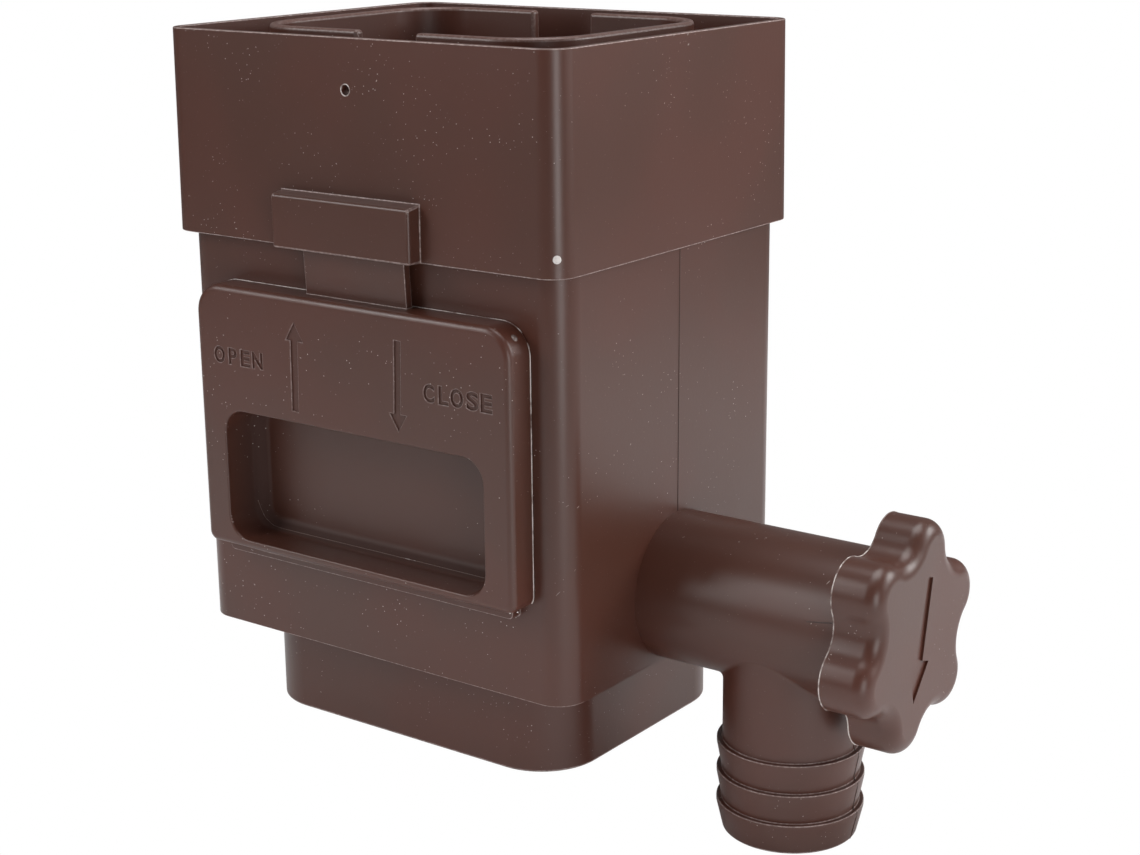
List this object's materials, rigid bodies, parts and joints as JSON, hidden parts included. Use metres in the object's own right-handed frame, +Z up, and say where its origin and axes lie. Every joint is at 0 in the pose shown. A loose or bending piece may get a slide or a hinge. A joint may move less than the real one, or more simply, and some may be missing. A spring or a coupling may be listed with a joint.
{
  "type": "gutter leaf separator",
  "caption": "Rectangular downpipe leaf separator with a slotted inlet sleeve, sloping leaf screen, lift-up front door and a side hose branch closed by a lobed rotary valve.",
  "frame": {"origin": "centre of the lower spigot's end face, where the downpipe below goes on", "axes": "+Z up along the downpipe, -Y towards the lift-up door, +X along the side branch towards the knob"},
  "size_m": [0.1829, 0.1028, 0.1871],
  "materials": {
    "brown_pvc": "satin moulded",
    "seal_rubber": "matte"
  },
  "bodies": {
    "separator": {"housing_walls": "brown_pvc", "housing_base": "brown_pvc", "branch_pipe": "brown_pvc", "inlet_collar": "brown_pvc", "guide_sleeve": "brown_pvc", "leaf_screen": "brown_pvc"},
    "door": {"front_door": "brown_pvc"},
    "valve": {"valve_spool": "brown_pvc", "seal_inner": "seal_rubber", "seal_outer": "seal_rubber", "valve_knob": "brown_pvc"}
  },
  "joints": [
    {"name": "door_lift", "type": "slide", "parent": "separator", "child": "door", "axis": [0, 0, 1], "range_m": [0, 0.008]},
    {"name": "valve_turn", "type": "hinge", "parent": "separator", "child": "valve", "pos_m": [0.09, 0, 0.04124], "axis": [1, 0, 0], "continuous": true}
  ]
}
